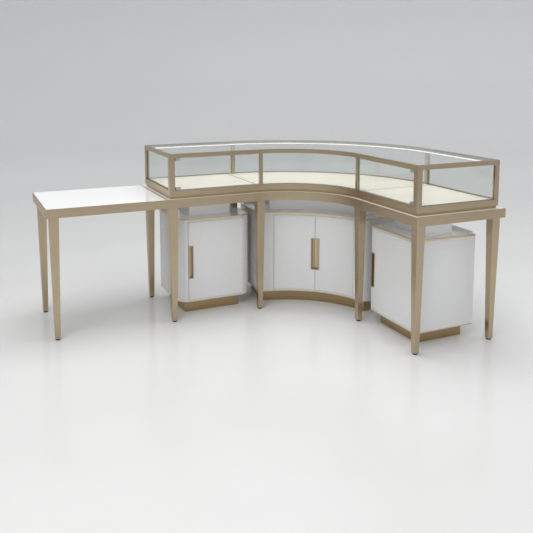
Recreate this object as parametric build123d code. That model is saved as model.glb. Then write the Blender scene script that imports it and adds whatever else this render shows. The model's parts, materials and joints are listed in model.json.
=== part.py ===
from build123d import *
import math
import os

# Curved display counter with a side checkout table.
# Plan: a straight left arm, a concave quarter-circle corner and a straight right arm.
# All shapes are first drawn about the centre of the corner arc: the left arm runs along -X,
# the right arm along -Y, and the customers' side is the convex, outer side.
# save() then shifts everything so that the origin lies on the floor, in the middle of the
# bounding box. Units are millimetres and +Z is up.

# ---- driving dimensions ----
total_height = 950.0
table_height = 702.0          # top of the white table tops
band_height = 48.0
r_staff = 400.0               # inner, staff-side edge of the table
table_depth = 555.0
left_len = 545.0              # straight arm left of the corner
right_len = 540.0             # straight arm right of the corner
side_len = 635.0              # side checkout table

sheet = 3.0                   # thickness of the metal band
band_return = 28.0            # width of the band's bottom flange
top_thick = 18.0
strip_width = 9.0             # metal strip between the two table tops
tube_width = 40.0
tube_wall = 2.5

leg_top = 48.0
leg_bottom = 28.0
leg_wall = 2.0
leg_inset = 42.0              # leg centre to table edge
plate_thick = 4.0
plate_width = 51.0
glide_height = 8.0
glide_radius = 12.0
stud_radius = 4.0
bolt_radius = 5.0
bolt_head = 7.0
bolt_head_radius = 8.5
leg_cap = 8.0                 # thickness of the solid leg ends
leg_plug = 22.0
joint_angle = 2.75            # legs, posts and deck seams stand this far inside the corner arc

case_inset_staff = 12.0       # showcase outline, measured in from the table edge
case_inset_outer = 35.0
case_inset_end = 18.0
plinth_strip = 14.0           # recessed strip under the showcase
strip_recess = 7.0
bottom_rail = 32.0
top_rail = 24.0
rail_width = 22.0
deck_thick = 6.0
deck_drop = 3.0               # deck surface below the top of the bottom rail
ledge_width = 10.0
corner_post = 30.0            # staff-side corner posts
slim_post = 22.0              # customer-side posts
arc_post = 18.0               # staff-side posts at the ends of the arc
glass = 6.0
top_glass = 8.0
door_gap = 3.0                # clearance round the showcase doors
pivot_setback = 20.0          # pivot axis to post face
pivot_radius = 3.0
running_clearance = 0.05
clip_length = 28.0
clip_thick = 14.0
clip_height = 15.0
clip_gap = 1.0
pin_depth = 6.0
pane_inset = 11.0             # pane centre line, in from the showcase outline
glass_rebate = 12.0
deck_seam = 2.0
cut_over = 1.0                # how far a cutting shape runs past the face it cuts
bearer_width = 24.0
bearer_play = 0.5
led_width = 8.0
led_height = 11.0
led_raise = 1.0
driver_length = 160.0
driver_width = 45.0
driver_height = 30.0
driver_from_end = 120.0

body_bottom = 70.0            # underside of the cabinet bodies
body_top = 551.0              # top of the cabinets' metal edge trim
trim_height = 9.0
trim_width = 8.0
trim_proud = 1.0
base_trim = 5.0
board = 18.0
door_thick = 18.0
door_reveal = 2.0             # gap round the cabinet doors
door_lip = 6.0                # carcass left above and below a door
recess_depth = 20.0
lip_height = 15.0             # upstand along the customers' edge of each cabinet top
riser_wall = 16.0
shelf_height = 300.0
shelf_thick = 16.0
shelf_play = 1.5
pin_radius = 2.5              # shelf pins, half in the side board and half under the shelf
pin_length = 16.0
pin_near = 120.0              # from the cabinet's front to the front pins
pin_far = 60.0                # from the cabinet's back to the rear pins
pull_width = 30.0
pull_height = 195.0
pull_bottom = 203.0
pull_rim = 6.0
pull_proud = 1.5
pull_depth = 14.0
pull_wall = 2.0
hinge_cup_radius = 17.5
hinge_cup_depth = 12.0
hinge_cup_offset = 24.0       # cup centre to the hinge axis
hinge_heights = (160.0, 450.0)

left_cabinet = dict(x0=-443.0, x1=10.0, y0=537.0, y1=910.0, corner=70.0)
right_cabinet = dict(x0=15.0, x1=423.0, y0=497.0, y1=867.0, corner=0.0)
left_door = (-384.0, -45.0)   # handle edge, hinge edge
right_door = (17.0, 421.0)
arc_cabinet = dict(r0=540.0, r1=910.0, a0=10.5, a1=84.0, corner=55.0)
arc_door_middle = 47.25
arc_door_half = 26.5
plinth_front = 30.0           # plinth set back from the body
plinth_side = 42.0
plinth_hinge_side = 76.0
plinth_wall = 12.0
shelf_setback = 90.0
riser_inset = dict(left=100.0, corner=95.0, right=100.0)
riser_side = dict(left=100.0, corner=107.0, right=65.0)
pull_half = 26.0              # width of each half of the shared pull
meeting_bevel = 18.0
strip_half = 18.0             # half the width of the fixed strip behind the corner doors
strip_thick = 3.0
arm_clear = 3.0
arm_thick = 12.0
arm_half = 8.0
arm_heel = 30.0
plate_run = 90.0
arc_arm_reach = 150.0

# ---- derived sizes ----
r_outer = r_staff + table_depth
r_middle = (r_staff + r_outer) / 2
band_bottom = table_height - band_height
board_bottom = table_height - top_thick
left_end = -left_len - side_len
case_in = r_staff + case_inset_staff
case_out = r_outer - case_inset_outer
case_left = -left_len + case_inset_end
case_right = -right_len + case_inset_end
rail_bottom = table_height + plinth_strip
rail_top = rail_bottom + bottom_rail
deck_top = rail_top - deck_drop
deck_bottom = deck_top - deck_thick
head_bottom = total_height - top_rail
pane_line = case_in + rail_width / 2
body_roof = body_top - trim_height
leg_head = band_bottom - plate_thick
leg_plug_top = glide_height + leg_plug
origin_x = (left_end + r_outer) / 2
origin_y = (r_outer - right_len) / 2


# ---- helpers ----
def prism(face, z0, z1):
    return extrude(Pos(0, 0, z0) * face, amount=z1 - z0, dir=(0, 0, 1))


def block(x0, x1, y0, y1, z0, z1):
    box = Box(x1 - x0, y1 - y0, z1 - z0)
    return Pos((x0 + x1) / 2, (y0 + y1) / 2, (z0 + z1) / 2) * box


def rod(x, y, z0, z1, radius):
    return Pos(x, y, (z0 + z1) / 2) * Cylinder(radius, z1 - z0)


def turned(angle):
    """Carry a piece drawn at the top of the arc (x = 0, y = radius) round to a polar angle."""
    return Rot(0, 0, angle - 90)


def polar(radius, angle):
    return radius * math.cos(math.radians(angle)), radius * math.sin(math.radians(angle))


def degrees_of(length, radius):
    return math.degrees(length / radius)


def counter_face(r0, r1, x_left, y_right):
    """Plan outline of the whole counter between two radii and two square ends."""
    edges = [
        Line((x_left, r0), (0, r0)),
        CenterArc((0, 0), r0, 0, 90),
        Line((r0, 0), (r0, y_right)),
        Line((r0, y_right), (r1, y_right)),
        Line((r1, y_right), (r1, 0)),
        CenterArc((0, 0), r1, 0, 90),
        Line((0, r1), (x_left, r1)),
        Line((x_left, r1), (x_left, r0)),
    ]
    return make_face(edges)


def inset_face(inset):
    return counter_face(r_staff + inset, r_outer - inset, -left_len + inset, -right_len + inset)


def case_face(inset):
    return counter_face(case_in + inset, case_out - inset, case_left + inset, case_right + inset)


def side_face(inset, end_inset):
    x0 = left_end + inset
    x1 = -left_len - end_inset
    y0 = r_staff + inset
    y1 = r_outer - inset
    return Pos((x0 + x1) / 2, (y0 + y1) / 2) * Rectangle(x1 - x0, y1 - y0)


def sector(r0, r1, a0, a1):
    edges = [
        CenterArc((0, 0), r0, a0, a1 - a0),
        CenterArc((0, 0), r1, a0, a1 - a0),
        Line(polar(r0, a0), polar(r1, a0)),
        Line(polar(r0, a1), polar(r1, a1)),
    ]
    return make_face(edges)


def save(part, name):
    moved = Pos(-origin_x, -origin_y, 0) * part
    export_step(moved, f"parts/{name}.step")


def group(pieces):
    return Compound([solid for piece in pieces for solid in piece.solids()])


# ---- tables ----
def main_band():
    wall = prism(inset_face(0) - inset_face(sheet), band_bottom, table_height)
    flange = prism(inset_face(0), band_bottom, band_bottom + sheet)
    flange -= prism(inset_face(band_return), band_bottom, band_bottom + sheet)
    for x, y in main_leg_places():
        flange -= rod(x, y, band_bottom, band_bottom + sheet, bolt_radius)
    return wall + flange


def side_band():
    wall = prism(side_face(0, 0) - side_face(sheet, sheet), band_bottom, table_height)
    flange = prism(side_face(0, 0), band_bottom, band_bottom + sheet)
    flange -= prism(side_face(band_return, band_return), band_bottom, band_bottom + sheet)
    for x, y in side_leg_places():
        flange -= rod(x, y, band_bottom, band_bottom + sheet, bolt_radius)
    return wall + flange


def joint_strip():
    half = strip_width / 2
    return block(-left_len - half, -left_len + half, r_staff + sheet, r_outer - sheet,
                 board_bottom, table_height)


def main_top():
    return prism(inset_face(sheet), board_bottom, table_height) - joint_strip()


def side_top():
    return prism(side_face(sheet, sheet), board_bottom, table_height) - joint_strip()


def tube_ring(outer, inner, wall_outer, wall_inner, z0, z1):
    """A closed rectangular tube following the band between two outlines."""
    skin = prism(outer - inner, z0, z1)
    return skin - prism(wall_outer - wall_inner, z0 + tube_wall, z1 - tube_wall)


def cross_tube(angle):
    y0 = r_staff + leg_inset + tube_width / 2
    y1 = r_outer - leg_inset - tube_width / 2
    z0 = band_bottom + sheet
    tube = block(-tube_width / 2, tube_width / 2, y0, y1, z0, board_bottom)
    bore = block(-tube_width / 2 + tube_wall, tube_width / 2 - tube_wall, y0, y1,
                 z0 + tube_wall, board_bottom - tube_wall)
    return turned(angle) * (tube - bore)


def main_subframe():
    near = leg_inset - tube_width / 2
    far = leg_inset + tube_width / 2
    z0 = band_bottom + sheet
    frame = tube_ring(inset_face(near), inset_face(far), inset_face(near + tube_wall),
                      inset_face(far - tube_wall), z0, board_bottom)
    for angle in (joint_angle, 90 - joint_angle):
        frame += cross_tube(angle)
    for x, y in main_leg_places():
        frame -= rod(x, y, z0, z0 + tube_wall, bolt_radius)
    return frame


def side_subframe():
    near = leg_inset - tube_width / 2
    far = leg_inset + tube_width / 2
    z0 = band_bottom + sheet
    wall_near = near + tube_wall
    wall_far = far - tube_wall
    frame = tube_ring(side_face(near, near), side_face(far, far), side_face(wall_near, wall_near),
                      side_face(wall_far, wall_far), z0, board_bottom)
    for x, y in side_leg_places():
        frame -= rod(x, y, z0, z0 + tube_wall, bolt_radius)
    return frame


# ---- legs ----
def side_leg_places():
    x = left_end + leg_inset
    return [(x, r_staff + leg_inset), (x, r_outer - leg_inset)]


def left_leg_places():
    x = -left_len + leg_inset
    return [(x, r_staff + leg_inset), (x, r_outer - leg_inset)]


def corner_leg_places():
    inner = r_staff + leg_inset
    outer = r_outer - leg_inset
    angles = (90 - joint_angle, joint_angle)
    return [polar(radius, angle) for radius in (inner, outer) for angle in angles]


def right_leg_places():
    y = -right_len + leg_inset
    return [(r_staff + leg_inset, y), (r_outer - leg_inset, y)]


def main_leg_places():
    return left_leg_places() + corner_leg_places() + right_leg_places()


def leg_width(z):
    share = (z - glide_height) / (leg_head - glide_height)
    return leg_bottom + share * (leg_top - leg_bottom)


def tapered(x, y, z0, z1, inset):
    """A length of leg, its square section smaller all round by the inset."""
    widths = [(z, leg_width(z) - 2 * inset) for z in (z0, z1)]
    return loft([Pos(x, y, z) * Rectangle(width, width) for z, width in widths])


def leg(x, y):
    shell = tapered(x, y, glide_height, leg_head, 0)
    shell -= tapered(x, y, leg_plug_top, leg_head - leg_cap, leg_wall)
    shell -= rod(x, y, leg_head - leg_cap, leg_head, bolt_radius)
    shell -= rod(x, y, glide_height, leg_plug_top - leg_wall, stud_radius)
    return shell


def legs(places):
    return group([leg(x, y) for x, y in places])


def leg_plate(x, y):
    half = plate_width / 2
    plate = block(x - half, x + half, y - half, y + half, leg_head, band_bottom)
    return plate - rod(x, y, leg_head, band_bottom, bolt_radius)


def leg_bolt(x, y):
    head = rod(x, y, leg_head - leg_cap - bolt_head, leg_head - leg_cap, bolt_head_radius)
    return head + rod(x, y, leg_head - leg_cap, board_bottom - tube_wall, bolt_radius)


def glide(x, y):
    foot = rod(x, y, 0, glide_height, glide_radius)
    return foot + rod(x, y, glide_height, leg_plug_top - leg_wall, stud_radius)


# ---- showcase ----
def base_strip():
    face = case_face(strip_recess) - case_face(strip_recess + rail_width)
    return prism(face, table_height, rail_bottom)


def case_bottom_rail():
    rail = prism(case_face(0) - case_face(rail_width), rail_bottom, rail_top)
    rail += prism(case_face(rail_width) - case_face(rail_width + ledge_width), rail_bottom, deck_bottom)
    for x, y in pivot_places().values():
        rail -= rod(x, y, rail_top - pin_depth, rail_top, pivot_radius + running_clearance)
    return rail


def case_top_rail():
    rail = prism(case_face(0) - case_face(rail_width), head_bottom, total_height)
    rail -= prism(case_face(glass_rebate), total_height - top_glass, total_height)
    for x, y in pivot_places().values():
        rail -= rod(x, y, head_bottom, head_bottom + pin_depth, pivot_radius + running_clearance)
    return rail


def decks():
    """The three deck panels: left arm, corner and right arm."""
    seam = degrees_of(deck_seam, r_middle)
    whole = prism(case_face(rail_width), deck_bottom, deck_top)
    inner = case_in + rail_width
    outer = case_out - rail_width
    corner = prism(sector(inner, outer, joint_angle, 90 - joint_angle), deck_bottom, deck_top)
    wide = sector(inner - cut_over, outer + cut_over, joint_angle - seam, 90 - joint_angle + seam)
    arms = (whole - prism(wide, deck_bottom, deck_top)).solids().sort_by(Axis.X)
    return {"left": arms[0], "corner": corner, "right": arms[-1]}


def deck_bearer(angle):
    y0 = case_in + rail_width + ledge_width + bearer_play
    y1 = case_out - rail_width - ledge_width - bearer_play
    return turned(angle) * block(-bearer_width / 2, bearer_width / 2, y0, y1, table_height, deck_bottom)


def posts(grow):
    """Showcase posts, made larger all round by a clearance. Corner posts first, then arc posts."""
    def post(x0, x1, y0, y1):
        return block(x0 - grow, x1 + grow, y0 - grow, y1 + grow, rail_top, head_bottom)

    corner = [
        post(case_left, case_left + corner_post, case_in, case_in + corner_post),
        post(case_in, case_in + corner_post, case_right, case_right + corner_post),
        post(case_left, case_left + slim_post, case_out - slim_post, case_out),
        post(case_out - slim_post, case_out, case_right, case_right + slim_post),
    ]
    staff = post(-arc_post / 2, arc_post / 2, case_in, case_in + arc_post)
    outer = post(-slim_post / 2, slim_post / 2, case_out - slim_post, case_out)
    angles = (90 - joint_angle, joint_angle)
    arc = [turned(angle) * item for item in (staff, outer) for angle in angles]
    return corner, arc


def case_panes():
    """Fixed glass between the posts, keyed by the wall it fills."""
    corner, arc = posts(0)
    ring = case_face(pane_inset - glass / 2) - case_face(pane_inset + glass / 2)
    line = prism(ring, rail_top, head_bottom)
    for post in corner + arc:
        line -= post
    panes = {}
    for pane in line.solids():
        box = pane.bounding_box()
        x, y = box.center().X, box.center().Y
        if box.max.X < case_left + rail_width:
            panes["end_left"] = pane
        elif box.max.Y < case_right + rail_width:
            panes["end_right"] = pane
        elif x > 0 and y > 0 and box.min.X > 0 and box.min.Y > 0:
            panes["corner_staff" if box.max.X < r_middle else "corner_outer"] = pane
        elif y > r_middle:
            panes["outer_left"] = pane
        elif x > r_middle:
            panes["outer_right"] = pane
    return panes


def pivot_places():
    away = corner_post + pivot_setback
    return {"left": (case_left + away, pane_line), "right": (pane_line, case_right + away)}


def case_doors():
    """The two opening staff-side panes."""
    corner, arc = posts(door_gap)
    near = pane_line - glass / 2
    face = counter_face(near, near + glass, case_left + rail_width, case_right + rail_width)
    line = prism(face, rail_top + door_gap, head_bottom - door_gap)
    for post in corner + arc:
        line -= post
    panes = line.solids().sort_by(Axis.X)
    right = [pane for pane in panes if pane.bounding_box().max.Y < case_in / 2][0]
    return {"left": panes[0], "right": right}


def pivot_clips(side):
    x, y = pivot_places()[side]
    along, across = clip_length / 2, clip_thick / 2
    if side == "right":
        along, across = across, along
    z_low = rail_top + clip_gap
    z_high = head_bottom - clip_gap
    low = block(x - along, x + along, y - across, y + across, z_low, z_low + clip_height)
    low += rod(x, y, z_low - pin_depth, z_low, pivot_radius)
    high = block(x - along, x + along, y - across, y + across, z_high - clip_height, z_high)
    high += rod(x, y, z_high, z_high + pin_depth, pivot_radius)
    pane = case_doors()[side]
    return group([low - pane, high - pane])


def glass_top():
    return prism(case_face(glass_rebate), total_height - top_glass, total_height)


def led_bar():
    """Light bar under the top rail along the customers' side and both ends."""
    z0 = head_bottom + led_raise
    z1 = z0 + led_height
    bar = prism(case_face(rail_width) - case_face(rail_width + led_width), z0, z1)
    staff_run = counter_face(case_in, case_in + rail_width + led_width, case_left, case_right)
    return bar - prism(staff_run, z0, z1)


def led_driver():
    x = case_left + driver_from_end
    y = r_middle - driver_width / 2
    return block(x, x + driver_length, y, y + driver_width, table_height, table_height + driver_height)


# ---- cabinets ----
def straight_face(cab, inset=0.0):
    width = cab["x1"] - cab["x0"] - 2 * inset
    depth = cab["y1"] - cab["y0"] - 2 * inset
    face = Pos((cab["x0"] + cab["x1"]) / 2, (cab["y0"] + cab["y1"]) / 2) * Rectangle(width, depth)
    if cab["corner"] > inset:
        face = fillet(face.vertices().sort_by(Axis.Y)[:2], cab["corner"] - inset)
    return face


def arc_face(cab, inset=0.0):
    """A sector whose sides and curves all move inwards by the same inset."""
    r0 = cab["r0"] + inset
    r1 = cab["r1"] - inset
    turn0 = math.degrees(math.asin(inset / r0))
    turn1 = math.degrees(math.asin(inset / r1))
    spread = cab["a1"] - cab["a0"]
    edges = [
        CenterArc((0, 0), r0, cab["a0"] + turn0, spread - 2 * turn0),
        CenterArc((0, 0), r1, cab["a0"] + turn1, spread - 2 * turn1),
        Line(polar(r0, cab["a0"] + turn0), polar(r1, cab["a0"] + turn1)),
        Line(polar(r0, cab["a1"] - turn0), polar(r1, cab["a1"] - turn1)),
    ]
    face = make_face(edges)
    if cab["corner"] > inset:
        face = fillet(face.vertices().sort_by_distance((0, 0))[:2], cab["corner"] - inset)
    return face


left_turn = Rot(0, 0, 0)
right_turn = Rot(0, 0, -90)   # the right arm is the left arm's shape turned a quarter clockwise


def cabinets():
    """Each cabinet's plan outlines at several insets, ready placed."""
    return {
        "left": lambda inset=0.0: straight_face(left_cabinet, inset),
        "corner": lambda inset=0.0: arc_face(arc_cabinet, inset),
        "right": lambda inset=0.0: right_turn * straight_face(right_cabinet, inset),
    }


def door_recess(name):
    """The space cut out of a cabinet's front for its doors."""
    z0 = body_bottom + door_lip
    z1 = body_roof - door_lip
    if name == "corner":
        spread = arc_door_half + degrees_of(door_reveal, arc_cabinet["r0"])
        r0 = arc_cabinet["r0"]
        face = sector(r0 - cut_over, r0 + recess_depth, arc_door_middle - spread, arc_door_middle + spread)
        return prism(face, z0, z1)
    if name == "left":
        x0, x1 = left_door[0] - door_reveal, left_door[1] + door_reveal
        y0 = left_cabinet["y0"]
        return block(x0, x1, y0 - cut_over, y0 + recess_depth, z0, z1)
    x0, x1 = right_cabinet["x0"] - cut_over, right_cabinet["x1"] + cut_over
    y0 = right_cabinet["y0"]
    return right_turn * block(x0, x1, y0 - cut_over, y0 + recess_depth, z0, z1)


def shelf_pins(name):
    """Four pins that stand out of the side boards under the shelf."""
    z = shelf_height - pin_radius
    pin = Cylinder(pin_radius, pin_length)
    if name == "corner":
        cab = arc_cabinet
        sides = ((cab["a0"], board), (cab["a1"], -board))
        depths = (cab["r0"] + pin_near, cab["r1"] - pin_far)
        return [Rot(0, 0, angle) * Pos(r, y, z) * Rot(90, 0, 0) * pin for angle, y in sides for r in depths]
    cab = left_cabinet if name == "left" else right_cabinet
    turn = left_turn if name == "left" else right_turn
    sides = (cab["x0"] + board, cab["x1"] - board)
    depths = (cab["y0"] + pin_near, cab["y1"] - pin_far)
    return [turn * Pos(x, y, z) * Rot(0, 90, 0) * pin for x in sides for y in depths]


def carcass(name):
    face = cabinets()[name]
    body = prism(face(), body_bottom, body_roof)
    body -= prism(face(board), body_bottom + board, body_roof - board)
    for pin in shelf_pins(name):
        body -= pin
    return body - door_recess(name)


def edge_trim(name):
    face = cabinets()[name]
    return prism(face(-trim_proud) - face(trim_width), body_roof, body_top)


def base_edge(name):
    face = cabinets()[name]
    return prism(face() - face(board), body_bottom - base_trim, body_bottom)


def meeting_strip():
    """Fixed upright strip behind the corner doors, which closes the gap between their meeting edges."""
    y0 = arc_cabinet["r0"] + recess_depth
    low, high = body_bottom + board, body_roof - board
    return turned(arc_door_middle) * block(-strip_half, strip_half, y0, y0 + strip_thick, low, high)


def cabinet_top(name):
    """White top panel with a low upstand along the customers' edge."""
    face = cabinets()[name]
    panel = prism(face(trim_width), body_roof, body_top)
    if name == "corner":
        edge = arc_cabinet["r1"] - trim_width
        angle = degrees_of(2 * trim_width, edge)
        strip = sector(edge - trim_width, edge, arc_cabinet["a0"] + angle, arc_cabinet["a1"] - angle)
        return panel + prism(strip, body_top, body_top + lip_height)
    cab = left_cabinet if name == "left" else right_cabinet
    turn = left_turn if name == "left" else right_turn
    x0, x1 = cab["x0"] + trim_width, cab["x1"] - trim_width
    y1 = cab["y1"] - trim_width
    return panel + turn * block(x0, x1, y1 - trim_width, y1, body_top, body_top + lip_height)


def riser(name):
    inset = riser_inset[name]
    if name == "corner":
        cab = arc_cabinet
        low, high = cab["r0"] + inset, cab["r1"] - inset
        side = degrees_of(riser_side[name], r_middle)
        wall = degrees_of(riser_wall, r_middle)
        a0, a1 = cab["a0"] + side, cab["a1"] - side
        outer = sector(low, high, a0, a1)
        inner = sector(low + riser_wall, high - riser_wall, a0 + wall, a1 - wall)
        return prism(outer - inner, body_top, board_bottom)
    cab = dict(left_cabinet if name == "left" else right_cabinet, corner=0.0)
    turn = left_turn if name == "left" else right_turn
    side = riser_side[name]
    cab.update(x0=cab["x0"] + side - inset, x1=cab["x1"] - side + inset)
    face = straight_face(cab, inset) - straight_face(cab, inset + riser_wall)
    return turn * prism(face, body_top, board_bottom)


def plinth(name):
    z1 = body_bottom - base_trim
    if name == "corner":
        cab = arc_cabinet
        side = degrees_of(plinth_side, r_middle)
        wall = degrees_of(plinth_wall, r_middle)
        low, high = cab["r0"] + plinth_front, cab["r1"] - plinth_side
        a0, a1 = cab["a0"] + side, cab["a1"] - side
        outer = sector(low, high, a0, a1)
        inner = sector(low + plinth_wall, high - plinth_wall, a0 + wall, a1 - wall)
        return prism(outer - inner, 0, z1)
    cab = left_cabinet if name == "left" else right_cabinet
    turn = left_turn if name == "left" else right_turn
    front = plinth_front if name == "left" else plinth_side
    hinge_side = plinth_hinge_side if name == "left" else plinth_side
    x0, x1 = cab["x0"] + plinth_side, cab["x1"] - hinge_side
    y0, y1 = cab["y0"] + front, cab["y1"] - plinth_side
    outer = block(x0, x1, y0, y1, 0, z1)
    inner = block(x0 + plinth_wall, x1 - plinth_wall, y0 + plinth_wall, y1 - plinth_wall, 0, z1)
    return turn * (outer - inner)


def shelf(name):
    face = cabinets()[name]
    slab = prism(face(board + shelf_play), shelf_height, shelf_height + shelf_thick)
    return slab - grown_recess(name)


def grown_recess(name):
    """Clearance behind the doors, so that the shelves stop short of them and of the hinges."""
    z0, z1 = shelf_height, shelf_height + shelf_thick
    if name == "corner":
        r0 = arc_cabinet["r0"]
        return prism(sector(r0 - cut_over, r0 + shelf_setback, 0, 90), z0, z1)
    cab = left_cabinet if name == "left" else right_cabinet
    turn = left_turn if name == "left" else right_turn
    return turn * block(cab["x0"], cab["x1"], cab["y0"] - cut_over, cab["y0"] + shelf_setback, z0, z1)


# ---- cabinet doors ----
# A straight door is drawn with its face on y = face_y, its handle edge at x_free and its hinge edge
# at x_hinge. A corner door is drawn at the top of the arc, on one side of x = 0, then turned.
door_low = body_bottom + door_lip + door_reveal
door_high = body_roof - door_lip - door_reveal


def cup_bores(x, face_y, outer_radius, depth):
    """Horizontal discs sunk into the back of a door at the hinge heights."""
    back = face_y + door_thick
    disc = Rot(90, 0, 0) * Cylinder(outer_radius, depth)
    return [Pos(x, back - depth / 2, z) * disc for z in hinge_heights]


def hinge_cups(x, face_y):
    outer = cup_bores(x, face_y, hinge_cup_radius, hinge_cup_depth)
    inner = cup_bores(x, face_y, hinge_cup_radius - pull_wall, hinge_cup_depth - pull_wall)
    return [cup - bore for cup, bore in zip(outer, inner)]


def pull_blocks(x0, x1, face_y, open_side):
    """Outer pocket, inner hollow and rim of a recessed pull; open_side is -1, 0 or +1."""
    rim_low = pull_rim if open_side >= 0 else 0
    rim_high = pull_rim if open_side <= 0 else 0
    z0, z1 = pull_bottom, pull_bottom + pull_height
    skirt = pull_rim - pull_wall
    pocket = block(x0 + min(rim_low, skirt), x1 - min(rim_high, skirt),
                   face_y, face_y + pull_depth + pull_wall, z0 + skirt, z1 - skirt)
    hollow = block(x0 + rim_low, x1 - rim_high, face_y - pull_proud - cut_over, face_y + pull_depth,
                   z0 + pull_rim, z1 - pull_rim)
    rim = block(x0, x1, face_y - pull_proud, face_y, z0, z1)
    return pocket, hollow, rim


def straight_door(x_free, x_hinge, face_y):
    leaf = block(x_free, x_hinge, face_y, face_y + door_thick, door_low, door_high)
    pocket, hollow, rim = pull_blocks(x_free, x_free + pull_width, face_y, 0)
    leaf -= pocket
    for bore in cup_bores(x_hinge - hinge_cup_offset, face_y, hinge_cup_radius, hinge_cup_depth):
        leaf -= bore
    pull = rim + pocket - hollow
    return leaf, pull, group(hinge_cups(x_hinge - hinge_cup_offset, face_y))


def meeting_wedge(side):
    """Material taken off the meeting edges of the corner doors, so that each opens alone."""
    r0 = arc_cabinet["r0"]
    gap = door_reveal / 2
    slope = math.tan(math.radians(meeting_bevel))
    deep = r0 + 2 * door_thick
    points = [(side * -gap, r0 - door_thick), (side * gap, r0 - door_thick), (side * gap, r0),
              (side * (gap + slope * (deep - r0)), deep), (side * -gap, deep)]
    return prism(make_face(Polyline(*points, close=True)), door_low, door_high)


def corner_door(side):
    """side is -1 for the left leaf and +1 for the right leaf."""
    r0 = arc_cabinet["r0"]
    angles = sorted((90.0, 90.0 - side * arc_door_half))
    leaf = prism(sector(r0, r0 + door_thick, *angles), door_low, door_high)
    x0, x1 = sorted((0.0, side * (pull_half + door_reveal / 2)))
    pocket, hollow, rim = pull_blocks(x0, x1, r0, -side)
    wedge = meeting_wedge(side)
    leaf -= pocket
    leaf -= rim
    hinge_turn = Rot(0, 0, -side * arc_door_half)
    cup_x = -side * hinge_cup_offset
    for bore in cup_bores(cup_x, r0, hinge_cup_radius, hinge_cup_depth):
        leaf -= hinge_turn * bore
    cups = [hinge_turn * cup for cup in hinge_cups(cup_x, r0)]
    pull = rim + pocket - hollow
    turn = turned(arc_door_middle)
    return turn * (leaf - wedge), turn * (pull - wedge), turn * group(cups)


def hinge_arm(x_cup, x_wall, face_y, z):
    """Fixed arm and wall plate of a concealed hinge, behind the door."""
    y0 = face_y + door_thick + arm_clear
    low, high = sorted((x_cup, x_wall))
    near, heel = sorted((x_wall, x_wall + math.copysign(arm_heel, x_cup - x_wall)))
    arm = block(low, high, y0, y0 + arm_thick, z - arm_half, z + arm_half)
    return arm + block(near, heel, y0, y0 + plate_run, z - arm_half, z + arm_half)


def hinge_arms():
    arms = []
    inside = {}
    for name, face in cabinets().items():
        inside[name] = prism(face(board), body_bottom + board, body_roof - board)
    for z in hinge_heights:
        for name, cab, door in (("left", left_cabinet, left_door), ("right", right_cabinet, right_door)):
            turn = left_turn if name == "left" else right_turn
            arm = hinge_arm(door[1] - hinge_cup_offset, cab["x1"] - board, cab["y0"], z)
            arms.append((turn * arm) & inside[name])
        for side in (-1, 1):
            edge = arc_door_middle - side * arc_door_half
            arm = hinge_arm(-side * hinge_cup_offset, side * arc_arm_reach, arc_cabinet["r0"], z)
            arms.append((turned(edge) * arm) & inside["corner"])
    return group(arms)


# ---- build and write every piece ----
def build():
    os.makedirs("parts", exist_ok=True)
    save(main_band() - joint_strip(), "main_table_band")
    save(side_band() - joint_strip(), "side_table_band")
    save(main_top(), "main_table_top")
    save(side_top(), "side_table_top")
    save(joint_strip(), "table_joint_strip")
    save(main_subframe(), "main_table_subframe")
    save(side_subframe(), "side_table_subframe")

    save(legs(side_leg_places()), "side_table_legs")
    save(legs(left_leg_places()), "left_arm_legs")
    save(legs(corner_leg_places()), "corner_legs")
    save(legs(right_leg_places()), "right_arm_legs")
    every_leg = side_leg_places() + main_leg_places()
    save(group([leg_plate(x, y) for x, y in every_leg]), "leg_plates")
    save(group([leg_bolt(x, y) for x, y in every_leg]), "leg_bolts")
    save(group([glide(x, y) for x, y in every_leg]), "leg_glides")

    save(base_strip(), "showcase_base_strip")
    save(case_bottom_rail(), "showcase_bottom_rail")
    save(case_top_rail(), "showcase_top_rail")
    for name, panel in decks().items():
        save(panel, f"deck_panel_{name}")
    save(group([deck_bearer(joint_angle), deck_bearer(90 - joint_angle)]), "deck_bearers")
    corner, arc = posts(0)
    save(group(corner + arc), "showcase_posts")
    for name, pane in case_panes().items():
        save(pane, f"glass_{name}")
    save(glass_top(), "glass_top")
    for name, pane in case_doors().items():
        save(pane, f"glass_door_{name}")
        save(pivot_clips(name), f"glass_door_pivots_{name}")
    save(led_bar(), "led_light_bar")
    save(led_driver(), "led_driver")

    for name in cabinets():
        save(carcass(name), f"cabinet_body_{name}")
        save(cabinet_top(name), f"cabinet_top_{name}")
    save(group([edge_trim(name) for name in cabinets()]), "cabinet_top_trims")
    save(group([base_edge(name) for name in cabinets()] + [meeting_strip()]), "cabinet_base_trims")
    save(group([plinth(name) for name in cabinets()]), "cabinet_plinths")
    save(group([riser(name) for name in cabinets()]), "cabinet_risers")
    save(group([shelf(name) for name in cabinets()]), "cabinet_shelves")
    save(group([pin for name in cabinets() for pin in shelf_pins(name)]), "shelf_pins")
    save(hinge_arms(), "cabinet_hinge_arms")

    doors = {
        "left": straight_door(*left_door, left_cabinet["y0"]),
        "corner_left": corner_door(-1),
        "corner_right": corner_door(1),
        "right": [right_turn * item for item in straight_door(*right_door, right_cabinet["y0"])],
    }
    for name, (leaf, pull, cups) in doors.items():
        save(leaf, f"cabinet_door_{name}")
        save(pull, f"door_pull_{name}")
        save(cups, f"door_hinge_cups_{name}")


build()
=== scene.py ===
import json
import math

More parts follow.
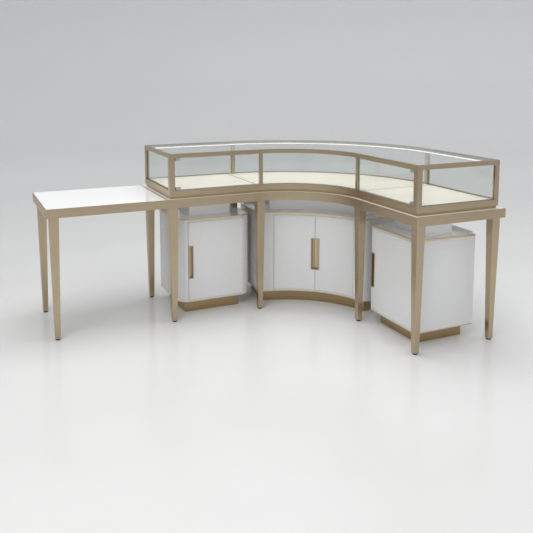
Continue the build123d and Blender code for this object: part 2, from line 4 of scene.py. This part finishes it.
import bmesh
import bpy
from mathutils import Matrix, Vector


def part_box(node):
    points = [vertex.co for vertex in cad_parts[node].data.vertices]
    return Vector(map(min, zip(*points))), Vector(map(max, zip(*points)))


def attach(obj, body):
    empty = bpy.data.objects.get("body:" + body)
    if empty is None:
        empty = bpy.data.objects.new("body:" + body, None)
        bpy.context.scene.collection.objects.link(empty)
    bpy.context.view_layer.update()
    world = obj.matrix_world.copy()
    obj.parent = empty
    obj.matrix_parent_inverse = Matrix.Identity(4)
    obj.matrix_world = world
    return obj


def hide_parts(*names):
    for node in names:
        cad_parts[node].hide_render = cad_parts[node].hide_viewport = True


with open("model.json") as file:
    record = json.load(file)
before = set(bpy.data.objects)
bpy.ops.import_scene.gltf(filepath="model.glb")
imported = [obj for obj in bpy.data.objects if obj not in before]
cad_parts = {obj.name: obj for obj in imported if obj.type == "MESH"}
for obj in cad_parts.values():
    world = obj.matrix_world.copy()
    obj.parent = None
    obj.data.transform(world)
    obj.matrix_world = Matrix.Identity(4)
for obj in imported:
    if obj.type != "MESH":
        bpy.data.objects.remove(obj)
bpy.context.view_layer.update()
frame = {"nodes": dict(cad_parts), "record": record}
nodes = frame["nodes"]
body_of = {n: b for b, names in frame["record"]["behaviour"]["bodies"].items() for n in names}
slot_of = {s["node"]: s["material_slot"] for s in frame["record"]["subparts"]}
scene = bpy.context.scene

# The corner arc's centre in plan: the left arm ends at its x, the right arm at its y.
OUTER_RADIUS = 0.952  # of the main table's top, in metres
table_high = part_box("main_table_top")[1]
ARC = Vector((table_high.x - OUTER_RADIUS, table_high.y - OUTER_RADIUS, 0.0))


# ---------------------------------------------------------------- node helpers
class Shader:
    """A small builder for node materials, whose textures run in metres from the corner arc's centre."""

    def __init__(self, name):
        self.material = bpy.data.materials.new(name)
        self.material.use_nodes = True
        self.tree = self.material.node_tree
        self.tree.nodes.clear()
        self.out = self.tree.nodes.new("ShaderNodeOutputMaterial")

    def node(self, kind, **values):
        """Adds a node; values are its settings or, with spaces written as underscores, its sockets."""
        made = self.tree.nodes.new("ShaderNode" + kind)
        for key, value in values.items():
            if hasattr(made, key):
                setattr(made, key, value)
            else:
                self.put(made, key.replace("_", " "), value)
        return made

    def put(self, node, socket, value):
        """Links a socket's value, or sets it where it is a plain number, colour or vector."""
        target = node.inputs[socket]
        if isinstance(value, bpy.types.NodeSocket):
            self.tree.links.new(value, target)
        else:
            target.default_value = value

    def math(self, operation, a, b=0.0, c=0.0):
        made = self.tree.nodes.new("ShaderNodeMath")
        made.operation = operation
        for i, value in enumerate((a, b, c)):
            self.put(made, i, value)
        return made.outputs[0]

    def place(self):
        """Object coordinates measured from the corner arc's centre."""
        coords = self.node("TexCoord").outputs["Object"]
        moved = self.tree.nodes.new("ShaderNodeVectorMath")
        moved.operation = "SUBTRACT"
        self.put(moved, 0, coords)
        moved.inputs[1].default_value = ARC
        return moved.outputs[0]

    def split(self, vector):
        made = self.node("SeparateXYZ")
        self.put(made, 0, vector)
        return made.outputs

    def join(self, x, y, z):
        made = self.node("CombineXYZ")
        for i, value in enumerate((x, y, z)):
            self.put(made, i, value)
        return made.outputs[0]

    def radius(self, x, y):
        return self.math("SQRT", self.math("ADD", self.math("POWER", x, 2.0), self.math("POWER", y, 2.0)))

    def stretched(self, parts, scales):
        """Coordinates stretched by a scale along each axis."""
        return self.join(*[self.math("MULTIPLY", part, scale) for part, scale in zip(parts, scales)])

    def noise(self, vector, scale, detail=2.0, rough=0.5):
        made = self.node("TexNoise")
        self.put(made, "Vector", vector)
        made.inputs["Scale"].default_value = scale
        made.inputs["Detail"].default_value = detail
        made.inputs["Roughness"].default_value = rough
        return made.outputs["Fac"]

    def range(self, value, low, high, start=0.3, end=0.7):
        made = self.node("MapRange")
        self.put(made, "Value", value)
        made.inputs["From Min"].default_value = start
        made.inputs["From Max"].default_value = end
        made.inputs["To Min"].default_value = low
        made.inputs["To Max"].default_value = high
        return made.outputs[0]

    def ramp(self, value, stops):
        made = self.node("ValToRGB")
        self.put(made, 0, value)
        band = made.color_ramp
        while len(band.elements) < len(stops):
            band.elements.new(0.5)
        for element, (at, colour) in zip(band.elements, stops):
            element.position = at
            element.color = (*colour, 1.0)
        return made.outputs[0]

    def mix(self, share, a, b, blend="MIX"):
        made = self.tree.nodes.new("ShaderNodeMix")
        made.data_type = "RGBA"
        made.blend_type = blend
        self.put(made, 0, share)
        self.put(made, 6, a if not isinstance(a, tuple) else (*a, 1.0))
        self.put(made, 7, b if not isinstance(b, tuple) else (*b, 1.0))
        return made.outputs[2]

    def bump(self, height, strength, distance, under=None):
        made = self.node("Bump")
        made.inputs["Strength"].default_value = strength
        made.inputs["Distance"].default_value = distance
        self.put(made, "Height", height)
        if under is not None:
            self.put(made, "Normal", under)
        return made.outputs[0]

    def surface(self, **values):
        made = self.node("BsdfPrincipled")
        for key, value in values.items():
            name = key.replace("_", " ")
            if isinstance(value, tuple):
                value = (*value, 1.0)
            self.put(made, name, value)
        self.tree.links.new(made.outputs[0], self.out.inputs[0])
        return self.material


# ---------------------------------------------------------------- materials
CHAMPAGNE = (0.62, 0.505, 0.355)
CHAMPAGNE_DARK = (0.49, 0.39, 0.268)
SEAM_SHADE_EDGE = (0.0034, 0.0040)  # the painted seam shade's outer edge, from the seam between two deck panels
LAMP_PITCH = 0.0166
LENS_SHARE = (0.28, 0.30)  # half the lens, as a share of the light bar's height


def brushed(name, light, dark, grain="band", rough=0.31):
    """Brushed champagne metal: hair-fine grain along bands and rails, upright on legs and posts."""
    s = Shader(name)
    x, y, z = s.split(s.place())
    if grain == "band":
        across = s.radius(s.math("MAXIMUM", x, 0.0), s.math("MAXIMUM", y, 0.0))
        along = s.math("SUBTRACT", x, y)
        parts = (across, along, z)
        fine, wide = (2600.0, 11.0, 2600.0), (420.0, 3.0, 420.0)
    else:
        parts = (x, y, z)
        fine, wide = (2600.0, 2600.0, 11.0), (420.0, 420.0, 3.0)
    hair = s.noise(s.stretched(parts, fine), 1.0, 2.0, 0.6)
    streak = s.noise(s.stretched(parts, wide), 1.0, 2.0, 0.5)
    cloud = s.noise(s.place(), 2.6, 2.0, 0.5)
    tone = s.math("ADD", s.math("MULTIPLY", hair, 0.6), s.math("MULTIPLY", streak, 0.4))
    colour = s.ramp(tone, [(0.25, dark), (0.75, light)])
    colour = s.mix(s.range(cloud, 0.0, 0.22), colour, tuple(c * 0.80 for c in dark))
    roughness = s.math("ADD", s.range(hair, rough - 0.05, rough + 0.07), s.range(streak, -0.02, 0.03))
    normal = s.bump(hair, 0.10, 0.0003, s.bump(streak, 0.03, 0.0005))
    return s.surface(Base_Color=colour, Metallic=1.0, Roughness=roughness, Anisotropic=0.5, Normal=normal)


def lacquer(name, colour, rough, coat):
    """Sprayed white lacquer: faint orange peel and very slight clouding."""
    s = Shader(name)
    place = s.place()
    cloud = s.noise(place, 1.7, 3.0, 0.5)
    peel = s.noise(place, 260.0, 2.0, 0.5)
    base = s.mix(s.range(cloud, 0.0, 1.0), colour, tuple(c * 0.965 for c in colour))
    return s.surface(Base_Color=base, Roughness=s.range(peel, rough - 0.02, rough + 0.04),
                     Coat_Weight=coat, Coat_Roughness=0.06, Normal=s.bump(peel, 0.035, 0.0003))


def leather(name):
    """Cream leatherette: pebbled grain with fine creases and soft sheen, with a painted brown shade line
    where two panels meet.
    """
    s = Shader(name)
    place = s.place()
    cells = s.node("TexVoronoi", feature="DISTANCE_TO_EDGE")
    s.put(cells, "Vector", place)
    cells.inputs["Scale"].default_value = 520.0
    pebble = s.range(cells.outputs["Distance"], 0.0, 1.0, 0.0, 0.28)
    crease = s.noise(place, 90.0, 4.0, 0.6)
    cloud = s.noise(place, 4.0, 3.0, 0.5)
    base = s.ramp(cloud, [(0.3, (0.81, 0.755, 0.67)), (0.7, (0.87, 0.815, 0.735))])
    # Painted shade: the grooves between the pebbles are darkened towards brown.
    base = s.mix(s.range(pebble, 0.35, 0.0, 0.0, 1.0), base, (0.68, 0.59, 0.47))
    x, y, z = s.split(place)
    seam = s.math("MINIMUM", s.math("ABSOLUTE", x), s.math("ABSOLUTE", y))
    # Painted shade: a dark brown line along the seam between two deck panels stands for the shadow in the
    # gap.
    base = s.mix(s.range(seam, 1.0, 0.0, *SEAM_SHADE_EDGE), base, (0.23, 0.14, 0.075))
    return s.surface(Base_Color=base, Roughness=s.range(crease, 0.50, 0.64), Sheen_Weight=0.15,
                     Sheen_Roughness=0.4, Normal=s.bump(pebble, 0.35, 0.0004, s.bump(crease, 0.2, 0.0006)))


def clear_glass(name):
    """Clear float glass that lets light straight through, with a faint grey body and clean reflections."""
    s = Shader(name)
    smear = s.noise(s.place(), 5.0, 3.0, 0.6)
    clear = s.node("BsdfTransparent")
    s.put(clear, 0, s.mix(s.range(smear, 0.0, 1.0), (0.955, 0.965, 0.96), (0.93, 0.945, 0.94)))
    shine = s.node("BsdfGlossy")
    s.put(shine, "Roughness", s.range(smear, 0.01, 0.04))
    shine.inputs["Color"].default_value = (0.97, 0.985, 0.98, 1.0)
    edge = s.node("Fresnel")
    edge.inputs["IOR"].default_value = 1.52
    outside = s.math("SUBTRACT", 1.0, s.node("NewGeometry").outputs["Backfacing"])
    both = s.node("MixShader")
    s.put(both, 0, s.math("MULTIPLY", edge.outputs[0], outside))
    s.tree.links.new(clear.outputs[0], both.inputs[1])
    s.tree.links.new(shine.outputs[0], both.inputs[2])
    s.tree.links.new(both.outputs[0], s.out.inputs[0])
    return s.material


def glass_edge(name):
    """Ground and polished edge of float glass: grey-green, with faint grinding lines along it."""
    s = Shader(name)
    x, y, z = s.split(s.place())
    lines = s.noise(s.stretched((x, y, z), (60.0, 60.0, 900.0)), 1.0, 2.0, 0.5)
    base = s.ramp(lines, [(0.3, (0.20, 0.33, 0.28)), (0.7, (0.34, 0.48, 0.42))])
    return s.surface(Base_Color=base, Roughness=s.range(lines, 0.10, 0.30), Coat_Weight=0.5,
                     Normal=s.bump(lines, 0.1, 0.0002))


def moulded(name, colour, rough, metal=0.0, scale=300.0, bump=0.15):
    """Moulded, painted or plated parts: fine grain and slight clouding of the tone."""
    s = Shader(name)
    place = s.place()
    grain = s.noise(place, scale, 3.0, 0.6)
    cloud = s.noise(place, 12.0, 3.0, 0.6)
    base = s.mix(s.range(cloud, 0.0, 0.5), colour, tuple(c * 0.75 for c in colour))
    return s.surface(Base_Color=base, Metallic=metal, Roughness=s.range(cloud, rough - 0.05, rough + 0.08),
                     Normal=s.bump(grain, bump, 0.0003))


def plywood(name):
    """Plain wood with its grain along Y."""
    s = Shader(name)
    x, y, z = s.split(s.place())
    fibre = s.noise(s.stretched((x, y, z), (260.0, 9.0, 700.0)), 1.0, 4.0, 0.6)
    base = s.ramp(fibre, [(0.3, (0.42, 0.28, 0.15)), (0.7, (0.66, 0.49, 0.30))])
    return s.surface(Base_Color=base, Roughness=s.range(fibre, 0.55, 0.75), Normal=s.bump(fibre, 0.3, 0.0005))


def diffuser(name):
    """Opal lens over a row of small lamps, brighter over each lamp, between the metal lips of its channel."""
    s = Shader(name)
    x, y, z = s.split(s.place())
    along = s.math("SUBTRACT", x, y)
    wave = s.math("SINE", s.math("MULTIPLY", along, 2 * math.pi / LAMP_PITCH))
    low, high = (corner.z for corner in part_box("led_light_bar"))
    off_centre = s.math("ABSOLUTE", s.math("SUBTRACT", z, (low + high) / 2))
    lens = s.range(off_centre, 1.0, 0.0, LENS_SHARE[0] * (high - low), LENS_SHARE[1] * (high - low))
    glow = s.math("MULTIPLY", lens, s.range(wave, 0.7, 1.1, -1.0, 1.0))
    colour = s.mix(lens, CHAMPAGNE, (0.95, 0.95, 0.92))
    return s.surface(Base_Color=colour, Metallic=s.math("SUBTRACT", 1.0, lens), Roughness=0.35,
                     Emission_Color=(1.0, 0.97, 0.90), Emission_Strength=glow)


looks = {
    "band": brushed("champagne_band", CHAMPAGNE, CHAMPAGNE_DARK),
    "leg": brushed("champagne_leg", CHAMPAGNE, CHAMPAGNE_DARK, grain="leg"),
    # Partly the trims' own more golden tone, partly painted light: a lighter copy of the champagne that makes
    # up for the shade the trims sit in.
    "trim": brushed("champagne_trim_painted_light", (0.88, 0.71, 0.46), (0.76, 0.60, 0.38), rough=0.36),
    # Painted shade: a darker copy of the champagne for the recessed plinths and base strip, which sit in
    # shade.
    "dark": brushed("champagne_painted_shade", (0.53, 0.395, 0.225), (0.41, 0.295, 0.16), rough=0.32),
    "white_tabletop": lacquer("white_tabletop", (0.93, 0.93, 0.925), 0.16, 0.5),
    "white_lacquer": lacquer("white_lacquer", (0.70, 0.705, 0.71), 0.25, 0.35),
    "cream_leather": leather("cream_leather"),
    "clear_glass": clear_glass("clear_glass"),
    "glass_edge": glass_edge("glass_edge"),
    "plain_wood": plywood("plain_wood"),
    "black_plastic": moulded("black_plastic", (0.022, 0.022, 0.023), 0.45),
    "grey_painted_steel": moulded("grey_painted_steel", (0.22, 0.22, 0.22), 0.5, scale=900.0, bump=0.3),
    "nickel_hardware": moulded("nickel_hardware", (0.62, 0.60, 0.56), 0.24, 1.0, 1500.0, 0.05),
    "led_diffuser": diffuser("led_diffuser"),
    "driver_case": moulded("driver_case", (0.50, 0.51, 0.52), 0.4, 1.0, 1500.0, 0.05),
}
# Nodes whose look differs from that of their material slot.
# Painted light: the cabinet tops and risers take the brighter tabletop white, which makes up for the shade
# under the main table.
painted_light_nodes = {"cabinet_top_left", "cabinet_top_corner", "cabinet_top_right", "cabinet_risers"}
upright = {"side_table_legs", "left_arm_legs", "corner_legs", "right_arm_legs", "showcase_posts",
           "door_pull_left", "door_pull_right", "door_pull_corner_left", "door_pull_corner_right"}
# The trims take the lighter champagne copy, which carries painted light.
trims = {"cabinet_top_trims", "cabinet_base_trims", "table_joint_strip"}


def look_for(node):
    slot = slot_of[node]
    if node in trims:
        return looks["trim"]
    if slot in ("champagne_steel", "champagne_aluminium"):
        return looks["leg" if node in upright else "band"]
    # The recessed plinths and base strip get the darker champagne copy, which is painted shade.
    if slot == "dark_champagne":
        return looks["dark"]
    # Painted light on the shaded cabinet tops and risers.
    if node in painted_light_nodes:
        return looks["white_tabletop"]
    return looks[slot]


# ---------------------------------------------------------------- pieces
FLAT = math.radians(0.4)
SHARP = math.radians(30.0)
MERGE = 1e-6


def softened(node, width, segments=2):
    """A piece that stands for a CAD node, with its sharp arrises eased as on folded and lacquered parts."""
    source = nodes[node]
    mesh = bpy.data.meshes.new("eased_" + node)
    work = bmesh.new()
    work.from_mesh(source.data)
    bmesh.ops.remove_doubles(work, verts=work.verts, dist=MERGE)
    bmesh.ops.dissolve_limit(work, angle_limit=FLAT, verts=work.verts, edges=work.edges)
    bmesh.ops.connect_verts_concave(work, faces=work.faces)
    work.to_mesh(mesh)
    work.free()
    piece = bpy.data.objects.new("eased_" + node, mesh)
    scene.collection.objects.link(piece)
    mesh.materials.clear()
    mesh.materials.append(look_for(node))
    mesh.shade_smooth()
    bevel = piece.modifiers.new("ease", "BEVEL")
    bevel.width = width
    bevel.segments = segments
    bevel.limit_method = "ANGLE"
    bevel.angle_limit = SHARP
    bevel.miter_outer = "MITER_SHARP"
    bevel.use_clamp_overlap = True
    normals = piece.modifiers.new("normals", "WEIGHTED_NORMAL")
    normals.weight = 60
    normals.keep_sharp = True
    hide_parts(node)
    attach(piece, body_of[node])
    return piece


# The width of each node's eased arrises, in metres.
eased = {
    "main_table_band": 0.0010, "side_table_band": 0.0010, "main_table_top": 0.0006, "side_table_top": 0.0006,
    "side_table_legs": 0.0012, "left_arm_legs": 0.0012, "corner_legs": 0.0012, "right_arm_legs": 0.0012,
    "showcase_bottom_rail": 0.0005, "showcase_top_rail": 0.0005, "showcase_posts": 0.0008,
    "showcase_base_strip": 0.0006,
    "cabinet_body_left": 0.0004, "cabinet_body_corner": 0.0004, "cabinet_body_right": 0.0004,
    "cabinet_door_left": 0.0012, "cabinet_door_corner_left": 0.0012, "cabinet_door_corner_right": 0.0012,
    "cabinet_door_right": 0.0012, "cabinet_top_left": 0.0008, "cabinet_top_corner": 0.0008,
    "cabinet_top_right": 0.0008, "cabinet_top_trims": 0.0008, "cabinet_base_trims": 0.0006,
    "cabinet_plinths": 0.0010, "cabinet_risers": 0.0010, "cabinet_shelves": 0.0010,
    "door_pull_left": 0.0005, "door_pull_right": 0.0005, "door_pull_corner_left": 0.0005,
    "door_pull_corner_right": 0.0005, "deck_panel_left": 0.0014, "deck_panel_corner": 0.0014,
    "deck_panel_right": 0.0014, "leg_plates": 0.0006, "leg_glides": 0.0012,
    "led_driver": 0.0020,
}
PANE_ARRIS = 0.0005
panes = [n for n in nodes if n.startswith("glass_") and "pivots" not in n]


def through(node, centre):
    """The direction across a pane's thickness at a point, in plan about the corner arc's centre."""
    if node == "glass_top":
        return Vector((0.0, 0.0, 1.0))
    if node == "glass_end_left":
        return Vector((1.0, 0.0, 0.0))
    if node == "glass_end_right":
        return Vector((0.0, 1.0, 0.0))
    flat = Vector((max(centre.x - ARC.x, 0.0), max(centre.y - ARC.y, 0.0), 0.0))
    return flat.normalized()


for node, width in eased.items():
    softened(node, width)
for node in panes:
    pane = softened(node, PANE_ARRIS, segments=1)
    pane.data.materials.append(looks["glass_edge"])
    for face in pane.data.polygons:
        face.material_index = 0 if abs(face.normal.dot(through(node, face.center))) > 0.7 else 1
for node, piece in nodes.items():
    if node not in eased and node not in panes:
        piece.data.materials.clear()
        piece.data.materials.append(look_for(node))
        piece.data.shade_smooth()
        piece.data.set_sharp_from_angle(angle=SHARP)


# ---------------------------------------------------------------- stage, light and camera
FLOOR_FADE = (2.5, 6.5)  # where the floor starts to turn paler and where it has done so
SWEEP_SIDES = 48
SWEEP_MIDDLE, SWEEP_FLAT, SWEEP_CURVE, SWEEP_TOP = 5.0, 9.0, 3.0, 7.0
GLOW_TOWARD = (-0.62, -0.55, 0.56)
LENS, SHIFT = 47.19, -0.2072
CAMERA_PLACE = (-1.5118, -3.4122, 1.3995)
CAMERA_TURN, CAMERA_DIP = -24.86, 7.0  # degrees


def floor_material():
    """Pale floor with a slight gloss, paler still in the distance."""
    s = Shader("pale_floor")
    place = s.place()
    cloud = s.noise(place, 0.9, 4.0, 0.55)
    speck = s.noise(place, 160.0, 2.0, 0.5)
    base = s.ramp(cloud, [(0.3, (0.64, 0.64, 0.635)), (0.7, (0.67, 0.67, 0.665))])
    x, y, z = s.split(place)
    base = s.mix(s.range(s.radius(x, y), 0.0, 1.0, *FLOOR_FADE), base, (0.88, 0.88, 0.875))
    return s.surface(Base_Color=base, Roughness=s.range(speck, 0.15, 0.19), Specular_IOR_Level=0.5,
                     Normal=s.bump(speck, 0.01, 0.0003))


def ring(work, radius, height):
    turns = [2 * math.pi * i / SWEEP_SIDES for i in range(SWEEP_SIDES)]
    return [work.verts.new((radius * math.cos(a), radius * math.sin(a), height)) for a in turns]


def sweep():
    """A round floor that curves up into a plain backdrop, all round."""
    work = bmesh.new()
    profile = [(SWEEP_MIDDLE, 0.0), (SWEEP_FLAT, 0.0)]
    profile += [(SWEEP_FLAT + SWEEP_CURVE * math.sin(t), SWEEP_CURVE - SWEEP_CURVE * math.cos(t))
                for t in [math.radians(a) for a in range(10, 91, 10)]]
    profile += [(SWEEP_FLAT + SWEEP_CURVE, SWEEP_TOP)]
    rings = [ring(work, radius, height) for radius, height in profile]
    middle = work.verts.new((0, 0, 0))
    for i in range(SWEEP_SIDES):
        j = (i + 1) % SWEEP_SIDES
        work.faces.new((middle, rings[0][i], rings[0][j]))
        for low, high in zip(rings, rings[1:]):
            work.faces.new((low[i], high[i], high[j], low[j]))
    mesh = bpy.data.meshes.new("studio_floor")
    work.to_mesh(mesh)
    work.free()
    mesh.materials.append(floor_material())
    mesh.shade_smooth()
    floor = bpy.data.objects.new("studio_floor", mesh)
    scene.collection.objects.link(floor)


def area_light(name, place, aim, width, height, power, colour=(1.0, 1.0, 1.0)):
    """A softbox that neither the camera nor a glossy surface sees, so glass and floor show no white patch."""
    lamp = bpy.data.lights.new(name, "AREA")
    lamp.shape = "RECTANGLE"
    lamp.size, lamp.size_y = width, height
    lamp.energy = power
    lamp.color = colour
    holder = bpy.data.objects.new(name, lamp)
    scene.collection.objects.link(holder)
    holder.visible_camera = False
    holder.visible_glossy = False
    holder.location = place
    holder.rotation_euler = (Vector(aim) - Vector(place)).to_track_quat("-Z", "Y").to_euler()


def studio_world():
    """Even pale surroundings, a little brighter overhead, with one wide glow that the metal can mirror."""
    world = bpy.data.worlds.new("studio")
    scene.world = world
    world.use_nodes = True
    tree = world.node_tree
    background = tree.nodes["Background"]
    coords = tree.nodes.new("ShaderNodeTexCoord")
    parts = tree.nodes.new("ShaderNodeSeparateXYZ")
    band = tree.nodes.new("ShaderNodeValToRGB")
    tree.links.new(coords.outputs["Generated"], parts.inputs[0])
    tree.links.new(parts.outputs["Z"], band.inputs[0])
    tree.links.new(band.outputs[0], background.inputs[0])
    low, high = band.color_ramp.elements
    low.position, low.color = 0.0, (0.42, 0.43, 0.45, 1.0)
    high.position, high.color = 0.9, (0.95, 0.96, 0.98, 1.0)
    toward = tree.nodes.new("ShaderNodeVectorMath")
    toward.operation = "DOT_PRODUCT"
    tree.links.new(coords.outputs["Generated"], toward.inputs[0])
    toward.inputs[1].default_value = Vector(GLOW_TOWARD).normalized()
    glow = tree.nodes.new("ShaderNodeMapRange")
    glow.interpolation_type = "SMOOTHSTEP"
    tree.links.new(toward.outputs["Value"], glow.inputs["Value"])
    for socket, value in (("From Min", 0.55), ("From Max", 1.0), ("To Min", 0.60), ("To Max", 1.15)):
        glow.inputs[socket].default_value = value
    tree.links.new(glow.outputs[0], background.inputs[1])


sweep()
studio_world()
area_light("key", (-2.8, -2.4, 3.6), (0.1, 0.0, 0.6), 2.4, 2.4, 72.0, (1.0, 0.985, 0.96))
area_light("front", (-1.2, -4.4, 1.75), (0.2, 0.2, 0.45), 5.6, 1.5, 46.0, (1.0, 0.995, 0.98))
area_light("side", (3.4, -1.6, 1.8), (0.3, 0.0, 0.5), 1.6, 2.2, 20.0, (0.97, 0.985, 1.0))
area_light("over", (0.3, 0.5, 4.2), (0.3, 0.2, 0.5), 3.2, 2.4, 106.0)

camera = bpy.data.cameras.new("photo_view")
view = bpy.data.objects.new("photo_view", camera)
scene.collection.objects.link(view)
scene.camera = view
camera.sensor_width = 36.0
camera.lens = LENS
camera.shift_y = SHIFT
view.location = CAMERA_PLACE
view.rotation_euler = (math.radians(90.0) - math.radians(CAMERA_DIP), 0.0, math.radians(CAMERA_TURN))
scene.view_settings.view_transform = "Standard"
